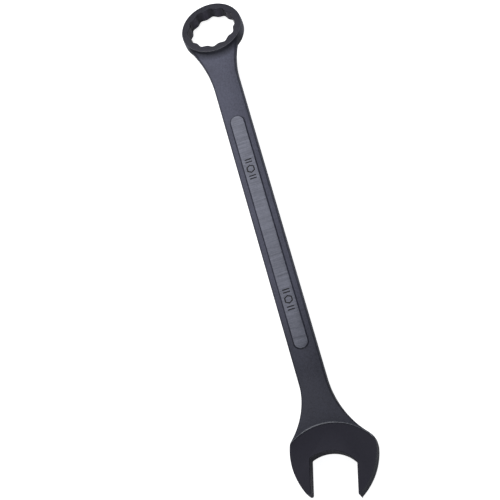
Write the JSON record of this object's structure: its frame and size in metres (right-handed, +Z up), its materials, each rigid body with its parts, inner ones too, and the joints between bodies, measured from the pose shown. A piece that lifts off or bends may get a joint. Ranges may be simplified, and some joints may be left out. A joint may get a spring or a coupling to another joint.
{
  "type": "combination wrench",
  "caption": "Large forged steel combination wrench: an angled open jaw at one end, a tilted multi-point box ring at the other and a raised panel along each side of the shank.",
  "frame": {"origin": "on the ground under the middle of the wrench's overall length and width, with the wrench lying on the far edge of its ring and the underside of its head", "axes": "+X along the shank from the ring to the open jaw, +Z up through the side that is uppermost when the ring's far edge is down, +Y across the shank"},
  "size_m": [0.5796, 0.09, 0.0324],
  "materials": {
    "blackened_steel": "blackened forging, blasted satin, with ground dark faces"
  },
  "bodies": {
    "root": {"combination_wrench": "blackened_steel"}
  },
  "joints": []
}
